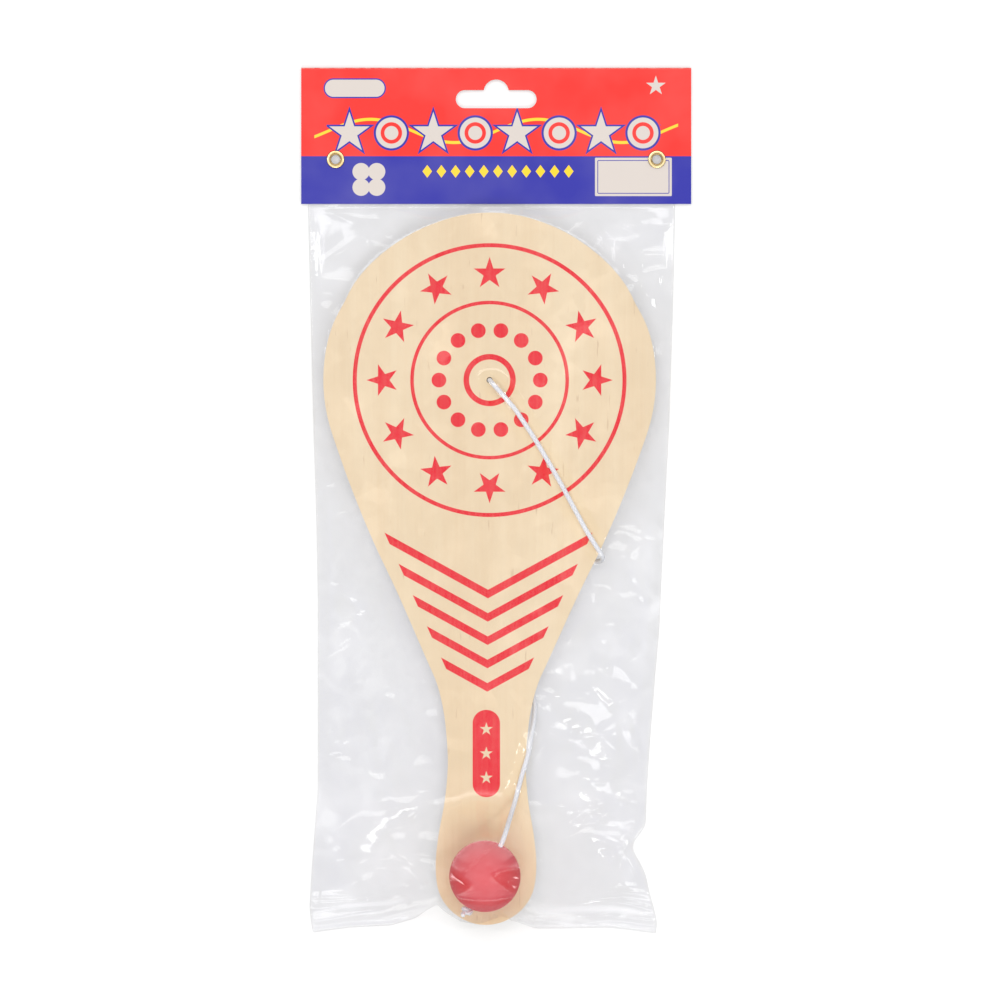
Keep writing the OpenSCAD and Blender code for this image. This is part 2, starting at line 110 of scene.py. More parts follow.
front_ply = ply("front_veneer")
core_ply = ply("core_ply")
back_ply = ply("back_veneer")


class Finish:
    """One surface finish, made of shader nodes round a Principled shader."""

    def __init__(self, name, **constants):
        self.material = bpy.data.materials.new(name)
        self.material.use_nodes = True
        self.tree = self.material.node_tree
        self.shader = self.tree.nodes["Principled BSDF"]
        for socket, value in constants.items():
            self.shader.inputs[socket.replace("_", " ")].default_value = value

    def node(self, kind, out=0, settings=None, **inputs):
        made = self.tree.nodes.new("ShaderNode" + kind)
        for key, value in (settings or {}).items():
            setattr(made, key, value)
        for key, value in inputs.items():
            key = int(key[1:]) if key[0] == "i" and key[1:].isdigit() else key.replace("_", " ")
            self.feed(made.inputs[key], value)
        return made.outputs[out]

    def feed(self, socket, value):
        if isinstance(value, bpy.types.NodeSocket):
            self.tree.links.new(value, socket)
        else:
            socket.default_value = value

    def math(self, how, a, b=0.0):
        return self.node("Math", settings={"operation": how}, i0=a, i1=b)

    def plus(self, a, b):
        return self.math("ADD", a, b)

    def minus(self, a, b):
        return self.math("SUBTRACT", a, b)

    def times(self, a, b):
        return self.math("MULTIPLY", a, b)

    def both(self, a, b):
        return self.math("MINIMUM", a, b)

    def either(self, a, b):
        return self.math("MAXIMUM", a, b)

    def place(self, way="Object"):
        return self.node("TexCoord", out=way)

    def stretched(self, sx, sy, sz):
        return self.node("Mapping", Vector=self.place(), Scale=(sx, sy, sz))

    def noise(self, vector, scale, detail=3.0, roughness=0.5, distortion=0.0):
        return self.node("TexNoise", Vector=vector, Scale=scale, Detail=detail,
            Roughness=roughness, Distortion=distortion)

    def ramp(self, value, low, high, to_low=0.0, to_high=1.0):
        return self.node("MapRange", i0=value, i1=low, i2=high, i3=to_low, i4=to_high)

    def mix(self, share, a, b):
        return self.node("Mix", out=2, settings={"data_type": "RGBA"}, i0=share, i6=a, i7=b)

    def bump(self, height, distance, strength):
        return self.node("Bump", Strength=strength, Distance=distance, Height=height)

    def wear(self, **sockets):
        for socket, value in sockets.items():
            self.feed(self.shader.inputs[socket.replace("_", " ")], value)


class Print(Finish):
    """A finish with flat printed shapes, drawn in millimetres on the object."""

    def __init__(self, name, **constants):
        super().__init__(name, **constants)
        self.x, self.y = [self.times(self.node("SeparateXYZ", out=k, Vector=self.place()), 1000)
            for k in range(2)]

    def from_point(self, x0, y0):
        return self.minus(self.x, x0), self.minus(self.y, y0)

    def length(self, a, b):
        return self.math("SQRT", self.plus(self.times(a, a), self.times(b, b)))

    def repeat(self, a, step):
        """a, counted from the middle of the nearest of a row of cells."""
        return self.minus(self.math("FLOORED_MODULO", self.plus(a, step / 2), step), step / 2)

    def within(self, distance, limit, soft=0.06):
        """1 where a distance is under the limit, with a soft printed edge."""
        return self.ramp(distance, limit + soft, limit - soft)

    def band(self, a, middle, half_width, soft=0.06):
        """1 where a is no further from the middle than half_width."""
        return self.within(self.math("ABSOLUTE", self.minus(a, middle)), half_width, soft)

    def without(self, a, b):
        return self.times(a, self.minus(1, b))

    def star(self, a, b):
        """How far out a place is in a five-pointed star, which ends at 1 times its size."""
        from_tip = self.math("ABSOLUTE", self.repeat(self.math("ARCTAN2", b, a), math.tau / 5))
        steepness = 1 / math.tan(math.radians(18))
        return self.times(self.length(a, b), self.plus(self.math("COSINE", from_tip),
            self.times(self.math("SINE", from_tip), steepness)))

    def box(self, a, b, half_w, half_h, corner):
        """Distance past a box with round corners."""
        out_a, out_b = [self.either(self.minus(self.math("ABSOLUTE", part), half - corner), 0)
            for part, half in ((a, half_w), (b, half_h))]
        return self.minus(self.length(out_a, out_b), corner)


def dress(piece, finish):
    piece.data.materials.clear()
    piece.data.materials.append(finish.material)


def veneer(finish, pale, deep):
    """Lime veneer: fine fibres, broad growth bands and small dark flecks."""
    warp = finish.noise(finish.place(), 14, 2)
    bands = finish.noise(finish.stretched(70, 3.5, 70), 1, 3, 0.55, 0.6)
    fibres = finish.noise(finish.stretched(900, 28, 900), 1, 4, 0.6)
    flecks = finish.noise(finish.stretched(620, 90, 620), 1, 2)
    tone = finish.plus(finish.times(bands, 0.55),
        finish.plus(finish.times(fibres, 0.25), finish.times(warp, 0.2)))
    wood = finish.mix(finish.ramp(tone, 0.38, 0.62), deep, pale)
    return finish.mix(finish.ramp(flecks, 0.7, 0.78, 0, 0.35), wood, FLECK_BROWN), fibres


face = Print("printed_lime_veneer", Specular_IOR_Level=0.12)
lime, fibres = veneer(face, LIME_PALE, LIME_DEEP)
across_hole, up_hole = face.from_point(HOLE_X, HOLE_Y)
from_hole = face.length(across_hole, up_hole)
bearing = face.math("ARCTAN2", up_hole, across_hole)


def spaced_round(count, radius):
    """A place as seen from the middle of the nearest of a ring of cells round the hole."""
    turned = face.repeat(bearing, math.tau / count)
    outward = face.times(from_hole, face.math("COSINE", turned))
    return face.minus(outward, radius), face.times(from_hole, face.math("SINE", turned))


ink = face.either(face.within(face.length(*spaced_round(DOTS, DOTS_AT_R)), DOT_R),
    face.within(face.star(*spaced_round(STARS, STARS_AT_R)), STAR_R, 0.1))
for ring in RINGS:
    ink = face.either(ink, face.band(from_hole, *ring))
aside = face.math("ABSOLUTE", face.minus(across_hole, face.times(up_hole, LEAN)))
chevron = face.minus(face.y, face.times(aside, CHEVRON_SLOPE))
reach = face.plus(face.times(face.y, FIELD_FLARE), FIELD_REACH)
chevrons = face.both(face.band(face.repeat(chevron, CHEVRON_PITCH), 0, CHEVRON_HALF),
    face.within(face.minus(aside, reach), 0))
chevrons = face.both(chevrons, face.band(chevron, FIELD_Y, FIELD_HALF_H))
bar_x, bar_y = face.from_point(BAR_X, BAR_Y)
bar = face.within(face.box(bar_x, bar_y, BAR_HALF_W, BAR_HALF_H, BAR_CORNER), 0)
bar_stars = face.both(face.within(face.star(face.repeat(bar_y, BAR_STAR_STEP), bar_x), BAR_STAR_R),
    face.band(bar_y, 0, 1.5 * BAR_STAR_STEP))
ink = face.either(ink, face.either(chevrons, face.without(bar, bar_stars)))
thin = face.ramp(face.noise(face.place(), 1400, 3, 0.7), 0.62, 0.8, 1.0, 0.75)
cover = face.times(ink, face.times(thin, face.ramp(fibres, 0.2, 0.6, 0.9, 1)))
face.wear(Base_Color=face.mix(cover, lime, INK_RED), Roughness=face.ramp(ink, 0, 1, 0.6, 0.42),
    Normal=face.bump(face.plus(fibres, face.times(ink, 0.6)), 0.00003, 0.5))
dress(front_ply, face)

plain = Finish("bare_lime_veneer", Roughness=0.62, Specular_IOR_Level=0.3)
lime, fibres = veneer(plain, BACK_PALE, BACK_DEEP)
plain.wear(Base_Color=lime, Normal=plain.bump(fibres, 0.00004, 0.5))
dress(back_ply, plain)

core = Finish("core_ply", Roughness=0.7, Specular_IOR_Level=0.25)
end_grain = core.noise(core.stretched(500, 500, 1800), 1, 4, 0.65)
saw_marks = core.noise(core.stretched(60, 60, 60), 1, 2)
cut = core.mix(core.ramp(end_grain, 0.3, 0.7), CORE_DEEP, CORE_PALE)
cut = core.mix(core.ramp(saw_marks, 0.5, 0.7, 0, 0.4), cut, SAWN_BROWN)
core.wear(Base_Color=cut, Normal=core.bump(end_grain, 0.0001, 0.6))
dress(core_ply, core)

# The elastic: rubber thread in a white braided cotton cover, 1.9 mm thick. It is knotted
# behind the paddle, comes up its hole, goes round the right edge, is coiled behind the
# paddle and runs out past the neck to the ball, where it is knotted again.
ELASTIC_R = 0.00095
BRAID_CARRIERS = 8
BRAID_PITCH = 0.0021
BRAID_RELIEF = 0.03
COTTON_WHITE, COTTON_SHADE = (0.95, 0.96, 0.99, 1), (0.8, 0.82, 0.88, 1)
COTTON_GRIME = (0.74, 0.73, 0.7, 1)
# The knots in millimetres: their ring's radius, how far it swells out and goes up and down
KNOT_RING, KNOT_SWELL, KNOT_HIGH = 1.2, 0.62, 0.75
# The elastic's radius where a knot squeezes it, and at its cut ends
SQUEEZED_R, CUT_END_R = 0.00078, 0.00085
# The ball turns on the elastic about its own bore, so the joint says where both are
ball_spin = next(joint for joint in frame["joints"] if joint["name"] == "ball_spin")
BALL_C, BORE_DIR = Vector(ball_spin["pos_m"]), Vector(ball_spin["axis"])
BALL_R, BORE_R = 0.014, 0.00103
# The knots' middles: height behind the paddle, and how far out along the bore
ANCHOR_KNOT_Z, BALL_KNOT_OUT = 0.00323, 0.015827
# The coil in millimetres. After two turns it climbs on to itself, over half a turn
COIL_X, COIL_Y, COIL_LOW_Z = -8, -42, 1.5
COIL_TURNS, COIL_PITCH, COIL_OUT_R = 4.5, 2.36, 12.8
COIL_STEPS, COIL_CLIMBS_AT = 24, 2

# The elastic's route in millimetres, from the knot behind the paddle to the one at the ball
hole_to_edge = [(-2.6, 47.6, 3.8), (-2.6, 47.6, 6), (-2.6, 47.6, 8.2), (-2.5, 47.5, 9.2),
    (-2.2, 47.2, 10.2), (-1.3, 46.1, 11.6), (0, 44.6, 12.2), (1.5, 43, 12), (3.1, 41.2, 11.3),
    (4.9, 39.1, 10.6), (7.3, 36.3, 10.3), (9.8, 32.6, 10.3), (12.5, 28.6, 10.3),
    (16.3, 22.6, 10.3), (19.8, 16.7, 10.3), (23.2, 10.8, 10.3), (26.4, 5.1, 10.3),
    (29.5, -0.7, 10.3), (32.5, -6.2, 10.3), (35, -10.8, 10.3), (37.6, -15.1, 10.3),
    (40.2, -19.2, 10.3), (41.3, -20.7, 9.8), (41.9, -22.1, 8.7), (41.9, -23.1, 7.1)]
edge_to_coil = [(41.1, -23.8, 5.5), (39.6, -24.1, 4.3), (37.8, -24.2, 3.8), (34.2, -24.5, 3.7),
    (30, -25, 3.3), (25, -25.7, 2.8), (20, -26.5, 2.3), (15, -27.4, 1.9), (10, -28.2, 1.6),
    (5, -28.8, 1.5), (0, -29.2, 1.5), (-4.2, -29.2, 1.5)]
coil_to_edge = [(-4.2, -54.8, 3.86), (-1.2, -55.1, 3.8), (2, -56.2, 3.8), (5, -58.2, 3.8),
    (7.6, -60.8, 3.8), (9.8, -64, 3.8), (11.9, -68.5, 3.8), (13.6, -73.2, 3.8),
    (14.8, -77.8, 3.8), (15.3, -81.2, 4), (15.2, -84.5, 4.9), (14.7, -88.2, 6.3),
    (14, -92, 7.8), (13.4, -95.8, 9.2)]
edge_to_ball = [(12.8, -99.4, 10.2), (11.6, -103.5, 10.4), (10.3, -107.6, 10.3),
    (9.4, -111, 10.3), (8.6, -114, 10.4), (7.8, -117, 11.1), (7.1, -119.4, 12.7),
    (6.4, -121.5, 15), (5.7, -123.7, 17.9), (4.9, -126, 21.1), (4.3, -128, 24),
    (3.7, -129.7, 26), (3.1, -131.5, 27), (2.4, -133.3, 27.1)]
through_ball = [tuple(1000 * (BALL_C + out * BORE_DIR))
    for out in (0.0145, 0.007, 0, -0.007, -0.0149)]


def rise(a, start, over):
    """0 up to the start, then evenly up to 1 over the given stretch."""
    return np.clip((a - start) / over, 0, 1)


def fall(a, end, over):
    """1 until the given stretch before the end, and 0 from the end on."""
    return np.clip((end - a) / over, 0, 1)


def eased(share):
    """A share from 0 to 1 that starts and ends gently."""
    return share * share * (3 - 2 * share)


coil = []
for step in range(int(COIL_TURNS * COIL_STEPS) + 1):
    turn = step / COIL_STEPS
    r = COIL_OUT_R - COIL_PITCH * min(turn, COIL_TURNS - turn)
    a = math.radians(90 + 360 * turn)
    climb = COIL_PITCH * eased(rise(turn, COIL_CLIMBS_AT, 0.5))
    coil.append((COIL_X + r * math.cos(a), COIL_Y + r * math.sin(a), COIL_LOW_Z + climb))
elastic_route = np.array(hole_to_edge + edge_to_coil + coil + coil_to_edge + edge_to_ball
    + through_ball) / 1000


def smooth_line(points, spacing):
    """A Catmull-Rom line through the points, cut to even steps."""
    p = np.vstack([2 * points[0] - points[1], points, 2 * points[-1] - points[-2]])
    t = np.linspace(0, 1, 12, endpoint=False)[:, None]
    line = np.vstack([0.5 * (2 * p[i] + (p[i + 1] - p[i - 1]) * t
        + (2 * p[i - 1] - 5 * p[i] + 4 * p[i + 1] - p[i + 2]) * t ** 2
        + (3 * p[i] - p[i - 1] - 3 * p[i + 1] + p[i + 2]) * t ** 3)
        for i in range(1, len(p) - 2)] + [points[-1:]])
    run = np.concatenate([[0], np.cumsum(np.linalg.norm(np.diff(line, axis=0), axis=1))])
    even = np.linspace(0, run[-1], max(2, round(run[-1] / spacing)) + 1)
    return np.stack([np.interp(even, run, line[:, k]) for k in range(3)], axis=1)


def braided_tube(name, line, radius, sides, closed=False):
    """A tube along the line whose wall rises and falls with the strands of the braid."""
    n = len(line)
    along = np.roll(line, -1, 0) - np.roll(line, 1, 0) if closed else np.gradient(line, axis=0)
    along /= np.linalg.norm(along, axis=1)[:, None]
    side = np.cross(along[0], (0.3, 0.2, 1.0))
    rings, uvs, run = [], [], 0
    for i in range(n):
        side = side - along[i] * (side @ along[i])
        side /= np.linalg.norm(side)
        up = np.cross(along[i], side)
        if i:
            run += np.linalg.norm(line[i] - line[i - 1])
        for k in range(sides):
            a = math.tau * k / sides
            over = math.sin(BRAID_CARRIERS / 2 * a + math.tau * run / BRAID_PITCH)
            under = math.sin(BRAID_CARRIERS / 2 * a - math.tau * run / BRAID_PITCH)
            r = radius * (1 - BRAID_RELIEF + BRAID_RELIEF * max(over, under))
            rings.append(line[i] + r * (math.cos(a) * side + math.sin(a) * up))
            uvs.append((k / sides, run))
    faces, face_uvs = [], []
    for i in range(n if closed else n - 1):
        j = (i + 1) % n
        for k in range(sides):
            q = (k + 1) % sides
            faces.append((i * sides + k, i * sides + q, j * sides + q, j * sides + k))
            low = uvs[i * sides + k][1]
            high = uvs[j * sides + k][1] if j else run + BRAID_PITCH
            face_uvs += [(k / sides, low), ((k + 1) / sides, low), ((k + 1) / sides, high),
                (k / sides, high)]
    if not closed:
        for end, order in ((0, -1), (n - 1, 1)):
            rings.append(line[end])
            hub = len(rings) - 1
            for k in range(sides):
                pair = (end * sides + k, end * sides + (k + 1) % sides)[::order]
                faces.append((hub, *pair))
                face_uvs += [(0.5, uvs[end * sides][1])] * 3
    mesh = bpy.data.meshes.new(name)
    mesh.from_pydata([tuple(p) for p in rings], [], faces)
    layer = mesh.uv_layers.new(name="UVMap")
    layer.data.foreach_set("uv", np.array(face_uvs, np.float32).ravel())
    mesh.shade_smooth()
    made = bpy.data.objects.new(name, mesh)
    bpy.context.collection.objects.link(made)
    return made


braid = Finish("white_braid", Roughness=0.75, Specular_IOR_Level=0.3, Sheen_Weight=0.35,
    Sheen_Roughness=0.5)
round_it, along_it = [braid.node("SeparateXYZ", out=k, Vector=braid.place("UV")) for k in range(2)]
strands = [braid.math("SINE", braid.plus(braid.times(round_it, math.pi * BRAID_CARRIERS),
    braid.times(along_it, lean * math.tau / BRAID_PITCH))) for lean in (1, -1)]
weave = braid.either(*strands)
grime = braid.noise(braid.place(), 260, 4)
# The cotton is painted darker between the strands: painted shade
cotton = braid.mix(braid.ramp(weave, -0.3, 0.6), COTTON_SHADE, COTTON_WHITE)
cotton = braid.mix(braid.ramp(grime, 0.55, 0.75, 0, 0.25), cotton, COTTON_GRIME)
braid.wear(Base_Color=cotton, Normal=braid.bump(weave, 0.00006, 0.5))

elastic_line = smooth_line(elastic_route, 0.0004)
elastic = braided_tube("elastic", elastic_line, ELASTIC_R, 14)
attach(elastic, "bagged_toy")
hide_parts("elastic_face_run", "elastic_coil", "elastic_ball_run")
dress(elastic, braid)


def drawn_knot(name, place, axis, tail):
    """An overhand knot drawn tight, with the cut end of the elastic standing out of it."""
    t = np.linspace(0, math.tau, 120, endpoint=False)
    out = KNOT_RING + KNOT_SWELL * np.cos(3 * t)
    loop = np.stack([out * np.cos(2 * t), out * np.sin(2 * t), KNOT_HIGH * np.sin(3 * t)],
        axis=1) / 1000
    knot = braided_tube(name, loop, SQUEEZED_R, 12, closed=True)
    end = braided_tube(name + "_end", smooth_line(np.array(tail) / 1000, 0.0003), CUT_END_R, 12)
    facing = Vector(axis).to_track_quat("Z", "Y").to_matrix().to_4x4()
    for piece in (knot, end):
        piece.data.transform(Matrix.Translation(place) @ facing)
    merged = bmesh.new()
    merged.from_mesh(knot.data)
    merged.from_mesh(end.data)
    merged.to_mesh(knot.data)
    merged.free()
    bpy.data.objects.remove(end)
    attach(knot, "bagged_toy")
    dress(knot, braid)
    return knot


anchor_place = (HOLE_X / 1000, HOLE_Y / 1000, ANCHOR_KNOT_Z)
anchor_knot = drawn_knot("anchor_knot_drawn", anchor_place, (0, 0, 1),
    [(1.2, 0.4, -0.5), (2.4, 0.9, -0.9), (4.0, 1.2, -1.2), (6.2, 0.8, -1.4)])
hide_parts("anchor_knot")
ball_knot = drawn_knot("ball_knot_drawn", BALL_C - BORE_DIR * BALL_KNOT_OUT, BORE_DIR,
    [(0.5, 0.6, -0.6), (0.9, 1.4, -1.0), (1.1, 2.4, -1.3), (0.8, 3.8, -1.4)])
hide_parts("ball_knot")

# The ball: solid red rubber, moulded in two halves and drilled right through for the
# elastic. The parting line stands up a hair, and the skin is matt and slightly chalky.
BALL_CHAMFER = 0.0004
BALL_AROUND, BALL_DOWN, BORE_DOWN = 128, 97, 9
# The parting line runs square to this direction, and the skin beside it is sunk a little
PARTING_X, PARTING_Z = 0.94, 0.34
PARTING_HALF, PARTING_HIGH, SKIN_SUNK = 0.00022, 0.00007, 0.00004
RUBBER_RED, RUBBER_CHALKY = (0.76, 0.03, 0.036, 1), (0.86, 0.075, 0.08, 1)


def hump(a, middle, half, sharp=2):
    """1 at the middle, and falling away smoothly to both sides of it."""
    return np.exp(-np.abs((a - middle) / half) ** sharp)


def ball_profile():
    """Half section of the ball about its bore, from one mouth round to the other."""
    mouth = math.asin((BORE_R + BALL_CHAMFER) / BALL_R)
    skin = [(BALL_R * math.sin(a), BALL_R * math.cos(a))
        for a in np.linspace(mouth, math.pi - mouth, BALL_DOWN)]
    bore_end = BALL_R * math.cos(mouth) - BALL_CHAMFER
    return skin + [(BORE_R, z) for z in np.linspace(-bore_end, bore_end, BORE_DOWN)]


profile = ball_profile()
ball_points, ball_faces = [], []
for k in range(BALL_AROUND):
    a = math.tau * k / BALL_AROUND
    for r, z in profile:
        place = Vector((r * math.cos(a), r * math.sin(a), z))
        if place.length > 0.8 * BALL_R:
            from_parting = place.x * PARTING_X + place.z * PARTING_Z
            stands_up = PARTING_HIGH * float(hump(from_parting, 0, PARTING_HALF)) - SKIN_SUNK
            place *= 1 + stands_up / BALL_R
        ball_points.append(place)
    here, beside = k * len(profile), (k + 1) % BALL_AROUND * len(profile)
    for i in range(len(profile)):
        j = (i + 1) % len(profile)
        ball_faces.append((here + i, here + j, beside + j, beside + i))
ball_mesh = bpy.data.meshes.new("ball_moulded")
ball_mesh.from_pydata(ball_points, [], ball_faces)
ball_mesh.shade_smooth()
ball_mesh.transform(Matrix.Translation(BALL_C)
    @ BORE_DIR.to_track_quat("Z", "Y").to_matrix().to_4x4())
ball = bpy.data.objects.new("ball_moulded", ball_mesh)
bpy.context.collection.objects.link(ball)
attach(ball, "ball")
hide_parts("ball")

rubber = Finish("red_rubber", Specular_IOR_Level=0.12, Sheen_Weight=0.08, Sheen_Roughness=0.6)
pores = rubber.noise(rubber.place(), 1500, 4, 0.6)
bloom = rubber.noise(rubber.place(), 110, 4, 0.6)
rubber.wear(Base_Color=rubber.mix(rubber.ramp(bloom, 0.35, 0.7, 0, 0.5), RUBBER_RED, RUBBER_CHALKY),
    Roughness=rubber.ramp(bloom, 0.3, 0.7, 0.62, 0.8), Normal=rubber.bump(pores, 0.00006, 0.4))
dress(ball, rubber)

# The bag: one pouch of clear polypropylene film, its front and back sheets welded down
# both sides and across the bottom. It is drawn over the paddle and the ball and creased
# from packing, and its mouth goes up between the panels of the card.
# Flat film colour, and the darker colour of steep film, which is painted shade
FILM_FLAT, FILM_STEEP_SHADED = (0.05, 0.05, 0.19, 1), (0.01, 0.01, 0.03, 1)
# The white of crushed film, also used for painted reflections and painted highlights
FILM_WHITENING_AND_SHEEN = (0.8, 0.8, 0.9, 1)
# All of the bag's sizes and places are in millimetres, up to its mesh
WELD_BAND, SIDE_WELD, WELD_STANDS = 5.0, 2.2, 0.06
# The height of the welded edges where nothing lifts them, and the sheets' CAD thickness
EDGE_Z, SHEET_T = 1.4, 0.3
BACK_SHEET_Z, LOWEST_Z = 0.15, 0.05
# How far the front sheet stays off the pieces in it, and the back sheet off them and it
FILM_GAP, BACK_GAP, SHEETS_APART = 0.3, 0.15, 0.05
TOP_Y, MOUTH_Y = 115.9, 147.9
# The mouth's rows between the card's panels, and half of how far it stands open there
MOUTH_YS = [MOUTH_Y, 140, 131, 123, 119, 117.7, 117.3, 116.9, 116.6, 116.25]
MOUTH_OPEN = 0.2
# Rows are closest under the card, columns at both sides
COLUMNS, SIDE_CROWDING = 161, 0.18
FINE_STEP, FINE_ROWS, EASING_ROWS, WIDE_STEP, WIDE_ROWS = 0.3, 16, 14, 0.85, 320
STRETCH_PASSES = 1600
# The bag's outline: each side as (y, x) from the card down, and the bottom as (x, y)
LEFT_EDGE = [(116.7, -74.6), (79.2, -73.7), (31.9, -72.5), (-7.6, -71.3), (-39.1, -70.7),
    (-114.5, -70.7), (-128.6, -71.8), (-146.8, -73.2), (-161, -74), (-167.7, -73.3),
    (-171, -72.5)]
RIGHT_EDGE = [(116.7, 70.9), (79.2, 70.1), (31.9, 68.6), (-7.6, 66.6), (-39.1, 65.1),
    (-51, 64.6), (-69.3, 63), (-85.5, 61.7), (-99.5, 60.6), (-114.6, 59.7), (-128.6, 59.2),
    (-132.4, 56.7), (-135.1, 54.3), (-138.9, 54.3), (-142.7, 56.7), (-148, 59.2),
    (-155.6, 60.8), (-162.1, 62.7), (-167.4, 63.8), (-171.3, 63.1)]
BOTTOM_EDGE = [(-72.5, -171), (-57.8, -169), (-41.6, -168.2), (-31.9, -165.3),
    (-26.5, -161.5), (-23.3, -159.7), (-20.6, -162.6), (-14.7, -166.4), (-6.1, -167.7),
    (-0.7, -165.8), (2.2, -164.5), (6.9, -166.4), (15.5, -169.4), (28.4, -169.3),
    (44.6, -169), (56.7, -170.5), (63.1, -171.3)]
# Creases in the film: from, to, height and half width
CREASES = [(-68, 115, -57, 110, 0.7, 1.4), (62.5, 92, 63.6, 72, 0.5, 1.0),
    (-62, -38, -51, -44, 0.6, 1.6), (-64, -41, -55, -47, 0.4, 1.3),
    (41.5, -55, 46.5, -54.4, 0.5, 0.8), (40.5, -66.5, 46, -67.6, 0.6, 0.8),
    (43, -93.6, 48, -98.5, 0.6, 0.9), (38, -111.8, 44, -110.6, 0.6, 0.9),
    (27, -127.5, 46, -118.5, 0.9, 1.1), (30, -124, 42, -119, -0.6, 0.9),
    (36, -129, 47, -122, 0.5, 0.9), (50, -119, 54, -127, 0.5, 0.8),
    (34, -72, 50, -86, 0.7, 2.2), (40, -92, 58, -80, 0.6, 1.8), (36, -84, 44, -100, -0.6, 2.0),
    (52, -84, 56, -104, 0.6, 1.7), (30, -100, 48, -104, 0.5, 2.0), (46, -62, 57, -74, 0.5, 2.0),
    (-70, -152.6, -30, -152.2, 0.8, 1.4), (-60, -163, -33, -158, 0.8, 1.2),
    (-66, -158, -44, -160.5, -0.5, 1.5), (12, -161, 40, -160, 0.9, 1.3),
    (26, -162.6, 62, -168, 0.9, 1.3), (14, -156, 24, -158.5, 0.6, 0.8),
    (19, -153.5, 29, -156.5, 0.5, 0.8), (32, -154, 59, -160, 0.5, 2.2),
    (54, -137, 44, -142, 0.7, 1.4), (54, -137, 42, -131, 0.7, 1.4),
    (54, -137, 38, -137, 0.6, 1.8), (-60, 96, -70, 60, 0.4, 1.6), (-69.5, 40, -66, -30, 0.3, 1.5),
    (-50, -70, -44, -112, 0.4, 2.4), (-66, -90, -52, -100, 0.3, 2.2),
    (-38, -100, -30, -124, 0.3, 2.2),
    (-58, -138, -36, -143, 0.4, 2.2), (30, -30, 52, -46, 0.4, 2.4), (52, -20, 60, -44, 0.4, 2.0),
    (-52, -8, -44, -40, 0.3, 2.2), (58, 20, 62, -22, 0.3, 1.6)]
# Cone-shaped folds that run out from the ball: heading in degrees, length, height
BALL_FOLDS = [(12, 40, 1.2), (38, 52, 1.0), (140, 50, 0.3), (168, 42, 0.4), (196, 48, 0.8),
    (222, 34, 1.0), (246, 20, 0.8), (292, 20, 0.8), (318, 34, 1.1), (344, 50, 1.3)]
# Tucks over the ball: start from its centre, side they run to, lean and spread
TUCKS = [(-4.8, -2.6, -1, 0.18, 0.6), (2, 1.7, 1, -0.3, 0.43)]
# Ledges over the bottom weld: height above the bottom, half width, and where they end
LEDGES = [(7.6, 1.5, 13, 60), (8.8, 0.9, -66, -33)]

draw = np.random.default_rng(7)


def edge(points, at, ease=1.5):
    """An edge of the bag at given places, its corners eased."""
    points = sorted(points)
    xs, ys = [p[0] for p in points], [p[1] for p in points]
    return sum(np.interp(at + d * ease, xs, ys) for d in (-1, -0.5, 0, 0.5, 1)) / 5


def cloudy(x, y, size):
    """Smooth random rise and fall from -1 to 1, with lumps about size apart."""
    cells = draw.uniform(-1, 1, (400, 400))
    u, v = x / size + 180, y / size + 180
    i, j = np.floor(u).astype(int), np.floor(v).astype(int)
    fu, fv = u - i, v - j
    fu, fv = fu * fu * fu * (fu * (6 * fu - 15) + 10), fv * fv * fv * (fv * (6 * fv - 15) + 10)
    return ((cells[i, j] * (1 - fu) + cells[i + 1, j] * fu) * (1 - fv)
        + (cells[i, j + 1] * (1 - fu) + cells[i + 1, j + 1] * fu) * fv)


def folded(x, y, size):
    """Sharp ridges between flat facets, as in crumpled film."""
    bend_x, bend_y = cloudy(x, y, size * 2), cloudy(x, y, size * 2)
    a = cloudy(x + size * bend_x, y + size * bend_y, size)
    b = cloudy(x - size * bend_y, y + size * bend_x, size * 0.6)
    return 1 - 2 * np.abs(a) + 0.5 * (1 - 2 * np.abs(b)) - 0.6


def soften(h, times):
    """Evens out a height field, leaving its border as it is."""
    for _ in range(times):
        h[1:-1, 1:-1] = (h[1:-1, 1:-1] * 2 + h[:-2, 1:-1] + h[2:, 1:-1]
            + h[1:-1, :-2] + h[1:-1, 2:]) / 6
    return h


def spread_out(h):
    """The highest value at each place and its eight neighbours."""
    return np.max([np.roll(h, (i, j), (0, 1)) for i in (-1, 0, 1) for j in (-1, 0, 1)], 0)


def heights(piece, from_above, missing):
    """Height of a piece's top or underside at each place of the grid, in millimetres."""
    tree = BVHTree.FromObject(piece, bpy.context.evaluated_depsgraph_get())
    start, way = (0.2, -1) if from_above else (-0.1, 1)
    found = np.full(x.shape, missing, float)
    for place in np.ndindex(x.shape):
        hit = tree.ray_cast((x[place] / 1000, y[place] / 1000, start), (0, 0, way))[0]
        if hit is not None:
            found[place] = hit.z * 1000
    return found


# The grid: rows from the card down to the bottom weld, columns from side to side
row_steps = np.concatenate([np.full(FINE_ROWS, FINE_STEP),
    np.linspace(FINE_STEP + 0.05, WIDE_STEP, EASING_ROWS), np.full(WIDE_ROWS, WIDE_STEP)])
down = np.concatenate([[0], np.cumsum(row_steps)])
down /= down[-1]
across = np.linspace(0, 1, COLUMNS)
across = across - SIDE_CROWDING * np.sin(math.tau * across) / math.tau
u, v = np.meshgrid(across, down)
left_x, right_x = [edge(side, TOP_Y + v * (side[-1][0] - TOP_Y))
    for side in (LEFT_EDGE, RIGHT_EDGE)]
x = left_x + u * (right_x - left_x)
y = TOP_Y + v * (edge(BOTTOM_EDGE, x[-1], 0.8)[None, :] - TOP_Y)
to_side = np.minimum(x - left_x, right_x - x)
to_bottom = y - y[-1][None, :]
to_top = TOP_Y - y
off_x, off_y = x - BALL_C.x * 1000, y - BALL_C.y * 1000
off_ball = np.hypot(off_x, off_y)
heading = np.degrees(np.arctan2(off_y, off_x))

